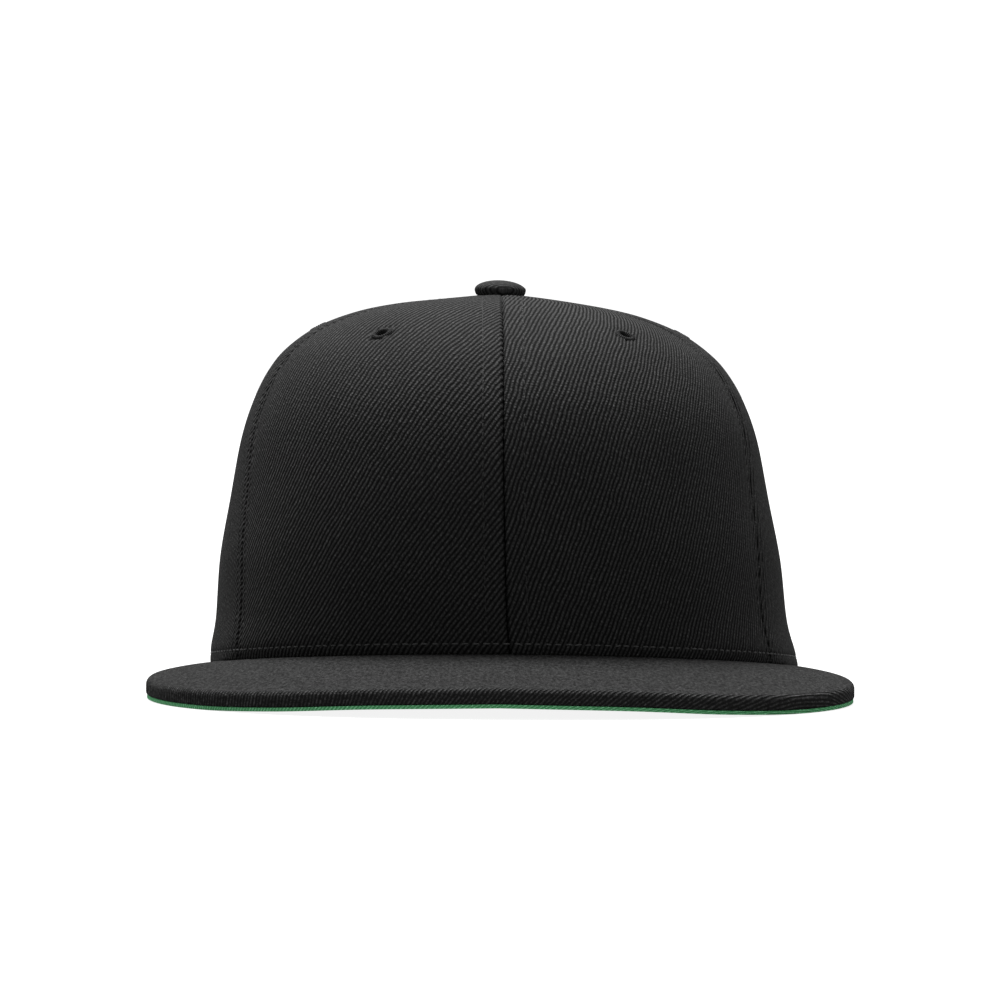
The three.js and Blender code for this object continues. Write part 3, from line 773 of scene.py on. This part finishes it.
def visor_edge():
    """Outer edge of the top: a superellipse in front, then straight in y and curved in x to the corner."""
    side, along = np.sign(visor_share), visor_along
    widest_y = SHIFT_Y - CROWN_FRONT_REACH - VISOR_REACH + VISOR_WIDEST_REACH
    power = 2 / VISOR_SQUARENESS
    turn = np.clip(along / VISOR_WIDEST_SHARE, 0, 1) * math.pi / 2
    x = side * VISOR_WIDTH / 2 * np.sin(turn) ** power
    y = widest_y - VISOR_WIDEST_REACH * np.maximum(np.cos(turn), 0) ** power
    corner = crown_point(side * VISOR_CORNER_ANGLE, at_rim, at_rim - VISOR_CORNER_STEP)
    rest = np.clip((along - VISOR_WIDEST_SHARE) / (1 - VISOR_WIDEST_SHARE), 0, 1)
    behind = along > VISOR_WIDEST_SHARE
    x = np.where(behind, x + (corner[:, 0] - x) * rest**2, x)
    y = np.where(behind, widest_y + (corner[:, 1] - widest_y) * rest, y)
    z = VISOR_TOP + CLEARANCE + VISOR_UNDER + VISOR_FRONT_LIFT * read_table(VISOR_LIFT, along)
    return np.stack([x, y, z], -1)


visor_rim = visor_edge()
visor_run = visor_rim - visor_rear
visor_length = np.linalg.norm(visor_run, axis=1)
visor_way = visor_run / visor_length[:, None]


def visor_grid(back_from_edge, drops):
    """Points on straight lines from the rim to the edge, at distances short of it and drops below the top."""
    distance = visor_length - back_from_edge
    points = visor_rear + distance[..., None] * visor_way
    points[..., 2] -= visor_fullness * drops
    return points


top_count = 60
cover_depth = VISOR_TOP + VISOR_TURN_UNDER
turn = np.linspace(0, math.pi / 2, ROUNDING_ROWS + 1)[1:, None]
tuck_turn = turn[:TUCK_ROWS] / turn[TUCK_ROWS - 1] * math.pi / 2
spread = np.linspace(1, 0, top_count)[:, None]
flat_back = VISOR_ROUNDING + spread * (visor_length - VISOR_ROUNDING)
edge_back = np.concatenate([
    flat_back,
    np.broadcast_to(VISOR_ROUNDING * (1 - np.sin(turn)), (ROUNDING_ROWS, VISOR_COLUMNS)),
    np.zeros((WALL_ROWS, VISOR_COLUMNS)),
    np.broadcast_to(TUCK * (1 - np.cos(tuck_turn)), (TUCK_ROWS, VISOR_COLUMNS)),
])
edge_drop = np.concatenate([
    np.zeros((top_count, 1)),
    VISOR_ROUNDING * (1 - np.cos(turn)),
    np.linspace(VISOR_ROUNDING, cover_depth - TUCK, WALL_ROWS + 1)[1:, None],
    cover_depth - TUCK + TUCK * np.sin(tuck_turn),
])
cover_top = visor_grid(edge_back, edge_drop)
cover_bottom = visor_grid(np.maximum(edge_back, TUCK + TUCK_FOLD), np.full(edge_back.shape, cover_depth))
cover_out = lengths_along(cover_top, 0)
way_flat = visor_way[:, :2] / np.linalg.norm(visor_way[:, :2], axis=1, keepdims=True)
cover_flat = visor_rear[:, :2] + cover_out[..., None] * way_flat
cover_under_flat = cover_bottom[..., :2]
visor_cover = put_mesh(
    "visor_cover",
    np.concatenate([cover_top.reshape(-1, 3), cover_bottom.reshape(-1, 3)]),
    wall_faces(np.ones((len(cover_top) - 1, VISOR_COLUMNS - 1), bool))[:, ::-1],
    visor_twill_painted_light,
    np.concatenate([cover_flat.reshape(-1, 2), cover_under_flat.reshape(-1, 2)]),
    50 * DEGREE,
)
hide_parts("visor_top")

# Visor underside. Green twill lies flat under the board, cut a little smaller than
# the cover, so that from the front only its thin edge shows.
UNDER_SOFTENING = [0.08, 0.2, 0.35]
UNDER_GAP_SHARE = 0.9
green_twill = twill_cloth(
    "green_twill", (0.07, 0.32, 0.12), (0.4, 1.0, 0.55), 0.9, 0.25, 0.4, 0.5
)
under_edge = np.zeros((len(UNDER_SOFTENING), VISOR_COLUMNS))
under_back = VISOR_UNDER_INSET + np.concatenate([spread * (visor_length - VISOR_UNDER_INSET), under_edge])
under_top = visor_grid(under_back, np.full(under_back.shape, VISOR_TOP)) - [0, 0, CLEARANCE * UNDER_GAP_SHARE]
under_bottom = visor_grid(under_back, np.full(under_back.shape, VISOR_TOP + VISOR_UNDER)) - [0, 0, CLEARANCE]
soften = np.array([0.0] * top_count + UNDER_SOFTENING)[:, None, None]
under_middle = (under_top + under_bottom) / 2
under_top += (under_middle - under_top) * soften
under_bottom += (under_middle - under_bottom) * soften
under_top_flat = under_top[..., :2]
under_bottom_flat = under_bottom[..., :2] + way_flat * VISOR_UNDER
visor_underside = put_mesh(
    "visor_underside",
    np.concatenate([under_top.reshape(-1, 3), under_bottom.reshape(-1, 3)]),
    wall_faces(np.ones((len(under_top) - 1, VISOR_COLUMNS - 1), bool))[:, ::-1],
    green_twill,
    np.concatenate([under_top_flat.reshape(-1, 2), under_bottom_flat.reshape(-1, 2)]),
    40 * DEGREE,
)
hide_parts("visor_under")

# Visor stitching. Rows of lockstitch run round the visor at even distances from
# its edge, through cover, board and underside.
VISOR_FIRST_ROW = 6
VISOR_ROW_PITCH = 6.5
VISOR_ROW_COUNT = 8
VISOR_ROW_END = 4
VISOR_THREAD_SINK = 0.14
visor_rows = []
for row in range(VISOR_ROW_COUNT):
    inward = VISOR_FIRST_ROW + row * VISOR_ROW_PITCH
    here = visor_length > inward + VISOR_ROW_END
    line = visor_grid(at_rim + inward, at_rim + VISOR_THREAD_SINK)[here]
    visor_rows.append(stitches_on(line, np.broadcast_to([0.0, 0.0, 1.0], line.shape)))
thread_mesh("visor_stitches", visor_rows, black_thread)

# Sweatband. A folded band of plain black cloth is sewn inside the rim, stops at
# both sides of the rear opening and steps inwards over the ends of the strap.
BAND_HEIGHT = 32
BAND_THICKNESS = 1.3
BAND_COLUMNS = 361
BAND_EDGE_BITE = 0.45
BAND_EDGE_SHARE = 0.03
STRAP_THICKNESS = 1.3
STRAP_TAIL = 8
strap_end = math.asin((ARCH_HALF_WIDTH + STRAP_TAIL) / (CROWN_WIDTH / 2))
arch_edge = math.asin(ARCH_HALF_WIDTH / (CROWN_WIDTH / 2))
inside_depth = CLOTH + CLEARANCE


def band_face(rows, depth):
    """Points inside the wall at a depth, stepped in near the strap by a smooth curve."""
    step_start = math.pi - strap_end - STRAP_TAIL * 2 / CROWN_BACK_REACH
    step_end = math.pi - strap_end - CLEARANCE / CROWN_BACK_REACH
    angle = np.linspace(arch_edge - math.pi, math.pi - arch_edge, BAND_COLUMNS)
    step = smooth((np.abs(angle) - step_start) / (step_end - step_start)) * (STRAP_THICKNESS + CLEARANCE)
    return crown_point(*np.broadcast_arrays(angle, rows * BAND_HEIGHT / side_length), depth + step)


band_cloth = twill_cloth("band_cloth", (0.008, 0.008, 0.009), (0.06, 0.06, 0.066), 0.6, 0.1, 0.3, 0.5)
band_up = np.concatenate([[0, 0.01, 0.03], np.linspace(0.05, 0.95, 24), [0.97, 0.99, 1]])[:, None]
end_round = BAND_EDGE_BITE * np.maximum(1 - np.minimum(band_up, 1 - band_up) / BAND_EDGE_SHARE, 0) ** 2
band_outer = band_face(band_up, inside_depth + end_round)
band_inner = band_face(band_up, inside_depth + BAND_THICKNESS - end_round)
band_across = lengths_along(band_outer, 1)
band_along = np.broadcast_to(band_up * BAND_HEIGHT, band_across.shape)
band_flat = np.stack([band_across, band_along], -1).reshape(-1, 2)
band = put_mesh(
    "inner_sweatband",
    np.concatenate([band_outer.reshape(-1, 3), band_inner.reshape(-1, 3)]),
    wall_faces(np.ones((len(band_up) - 1, BAND_COLUMNS - 1), bool)),
    band_cloth,
    np.concatenate([band_flat, band_flat]),
)
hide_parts("sweatband")

# Strap. Two moulded tails lap behind the rear opening and are pressed together by
# a row of round studs. Their sewn ends lie between the crown and the sweatband.
STRAP_LIFT = 3
STRAP_HEIGHT = 20
STRAP_LAP = 46
LAP_BITE = 0.1
STRAP_EDGE_BITE = 0.45
STRAP_EDGE_WIDTH = 0.6
STRAP_TURN_RADIUS = 95
STUD_RADIUS = 2.6
STUD_HEIGHT = 1.1
STUD_PITCH = 9
STUD_COUNT = 5
lap_edge = math.asin(STRAP_LAP / 2 / (CROWN_WIDTH / 2))
arch_at_strap = ARCH_HALF_WIDTH * math.sqrt(1 - ((STRAP_LIFT + STRAP_HEIGHT) / ARCH_HEIGHT) ** 2)
step_edge = math.asin((arch_at_strap - RIM_SHIFT) / (CROWN_WIDTH / 2))
outward = STRAP_THICKNESS - LAP_BITE


def strap_tail(start, end, step_out):
    """Wall behind the opening, with all four edges rounded off by a quarter circle."""
    inner_up, inner_across = np.linspace(0.05, 0.95, 14), np.linspace(0.01, 0.99, 110)
    up = np.concatenate([[0, 0.005, 0.015, 0.03], inner_up, [0.97, 0.985, 0.995, 1]])[:, None]
    across = np.concatenate([[0, 0.001, 0.003, 0.006], inner_across, [0.994, 0.997, 0.999, 1]])
    turn = start + (end - start) * across
    step = step_out * smooth((step_edge - turn) / (step_edge - lap_edge))
    share = (STRAP_LIFT + up * STRAP_HEIGHT) / back_length
    turn, share, step = np.broadcast_arrays(turn, share, step)
    from_end = np.minimum(across, 1 - across) * abs(end - start) * STRAP_TURN_RADIUS
    edge = np.minimum(np.minimum(up, 1 - up) * STRAP_HEIGHT, from_end)
    bite = STRAP_EDGE_BITE * (1 - np.sqrt(1 - np.clip(1 - edge / STRAP_EDGE_WIDTH, 0, 1) ** 2))
    outer = crown_point(math.pi + turn, share, inside_depth - step + bite)
    inner = crown_point(math.pi + turn, share, inside_depth - step + STRAP_THICKNESS - bite)
    points = np.concatenate([outer.reshape(-1, 3), inner.reshape(-1, 3)])
    return points, wall_faces(np.ones((outer.shape[0] - 1, outer.shape[1] - 1), bool))


def stud_points(angle, share):
    """Low round head: a turned outline with a rounded rim, set on the strap."""
    origin, side, up, normal = seat(angle, share)
    profile = np.array([
        (0.01, -0.6), (STUD_RADIUS, -0.6), (STUD_RADIUS, 0.6), (STUD_RADIUS - 0.1, 0.9),
        (STUD_RADIUS - 0.4, STUD_HEIGHT), (STUD_RADIUS - 1.1, STUD_HEIGHT),
        (STUD_RADIUS - 1.3, STUD_HEIGHT - 0.15), (0.01, STUD_HEIGHT - 0.2),
    ])
    turn = np.linspace(0, 2 * math.pi, 32, endpoint=False)
    reach = profile[:, :1]
    height = profile[:, 1:, None] - (inside_depth - outward)
    points = origin + (reach * np.cos(turn))[..., None] * side + (reach * np.sin(turn))[..., None] * up
    return points + height * normal


strap_parts = [strap_tail(-strap_end, lap_edge, 0), strap_tail(-lap_edge, strap_end, outward)]
stud_share = (STRAP_LIFT + STRAP_HEIGHT / 2) / back_length
for stud in range(STUD_COUNT):
    along = (stud - (STUD_COUNT - 1) / 2) * STUD_PITCH
    head = stud_points(math.pi + math.asin(along / (CROWN_WIDTH / 2)), stud_share)
    strap_parts.append((head.reshape(-1, 3), turned_faces(*head.shape[:2])))
strap_offsets = np.cumsum([0] + [len(points) for points, _ in strap_parts])
strap_material = bpy.data.materials.new("black_plastic")
strap_material.use_nodes = True
strap_shader = strap_material.node_tree.nodes["Principled BSDF"]
strap_shader.inputs["Base Color"].default_value = (0.012, 0.012, 0.013, 1)
strap_shader.inputs["Roughness"].default_value = 0.45
strap = put_mesh(
    "moulded_strap",
    np.concatenate([points for points, _ in strap_parts]),
    np.concatenate([faces + offset for (_, faces), offset in zip(strap_parts, strap_offsets)]),
    strap_material,
)
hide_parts("snap_strap")

# Studio. The cap rests on a wide table that glows white to the camera alone, but
# not under the crown, where the glow fades out as a painted shadow of the cap. Soft
# light comes from above and a little behind, and the camera looks from the front
# just above the table through a long lens.
CAMERA_DISTANCE = 1.298
CAMERA_ELEVATION = 1.5 * DEGREE
CAMERA_ROLL = 0.4 * DEGREE
CAMERA_TARGET = np.array([-0.00065, 0.034, 0.05295])
FOCAL_PIXELS = 4329
FRAME_PIXELS = 1000
SENSOR_WIDTH = 36
TABLE_HALF_SIZE = 40
TABLE_GLOW = 0.88
SHADE_START = 0.86
SHADE_FADE = 0.1

scene = bpy.context.scene
table_mesh = bpy.data.meshes.new("table")
corners = np.array([(-1, -1, 0), (1, -1, 0), (1, 1, 0), (-1, 1, 0)]) * TABLE_HALF_SIZE
table_mesh.from_pydata(corners - [0, 0, 0.0001], [], [(0, 1, 2, 3)])
table = bpy.data.objects.new("table", table_mesh)
scene.collection.objects.link(table)
pale = bpy.data.materials.new("pale_table")
pale.use_nodes = True
pale_tree = pale.node_tree
pale_shader = pale_tree.nodes["Principled BSDF"]
pale_shader.inputs["Base Color"].default_value = (0.22, 0.22, 0.22, 1)
pale_shader.inputs["Emission Color"].default_value = (1, 1, 1, 1)
pale_seen = pale_tree.nodes.new("ShaderNodeLightPath").outputs["Is Camera Ray"]
pale_split = pale_tree.nodes.new("ShaderNodeSeparateXYZ")
pale_place = pale_tree.nodes.new("ShaderNodeTexCoord").outputs["Object"]
pale_tree.links.new(pale_place, pale_split.inputs[0])
rim_x = calc(pale_tree, "MULTIPLY", pale_split.outputs["X"], 2 / (CROWN_WIDTH * MM))
rim_y = calc(
    pale_tree, "MULTIPLY_ADD", pale_split.outputs["Y"],
    1 / (CROWN_FRONT_REACH * MM), -SHIFT_Y / CROWN_FRONT_REACH,
)
from_middle = calc(pale_tree, "MULTIPLY_ADD", rim_x, rim_x, calc(pale_tree, "MULTIPLY", rim_y, rim_y))
# The glow fades out under the crown: painted shadow of the cap on the table.
glow_outside_painted_shade = calc(pale_tree, "MULTIPLY_ADD", from_middle, 1 / SHADE_FADE, -SHADE_START / SHADE_FADE)
glow_outside_painted_shade = calc(pale_tree, "MINIMUM", calc(pale_tree, "MAXIMUM", glow_outside_painted_shade, 0.0), 1.0)
pale_glow = calc(pale_tree, "MULTIPLY", calc(pale_tree, "MULTIPLY", pale_seen, TABLE_GLOW), glow_outside_painted_shade)
pale_tree.links.new(pale_glow, pale_shader.inputs["Emission Strength"])
pale_shader.inputs["Roughness"].default_value = 1
pale_shader.inputs["Specular IOR Level"].default_value = 0
table_mesh.materials.append(pale)

overhead_data = bpy.data.lights.new("overhead", "SUN")
overhead_data.energy = 7.2
overhead_data.angle = 30 * DEGREE
overhead = bpy.data.objects.new("overhead", overhead_data)
overhead.rotation_euler = (-19 * DEGREE, -6 * DEGREE, 0)
scene.collection.objects.link(overhead)

world = bpy.data.worlds.new("pale_room")
world.use_nodes = True
scene.world = world
tree = world.node_tree
backdrop = tree.nodes["Background"]
backdrop.inputs["Color"].default_value = (1, 1, 1, 1)
seen = tree.nodes.new("ShaderNodeLightPath").outputs["Is Camera Ray"]
tree.links.new(calc(tree, "MULTIPLY_ADD", seen, 0.58, 0.52), backdrop.inputs["Strength"])

lens = bpy.data.cameras.new("studio_camera")
lens.sensor_width = SENSOR_WIDTH
lens.lens = SENSOR_WIDTH * FOCAL_PIXELS / FRAME_PIXELS
camera = bpy.data.objects.new("studio_camera", lens)
scene.collection.objects.link(camera)
away = np.array([0, -math.cos(CAMERA_ELEVATION), math.sin(CAMERA_ELEVATION)])
camera.location = CAMERA_TARGET + away * CAMERA_DISTANCE
camera.rotation_euler = (math.pi / 2 - CAMERA_ELEVATION, -CAMERA_ROLL, 0)
scene.camera = camera
scene.view_settings.view_transform = "Standard"
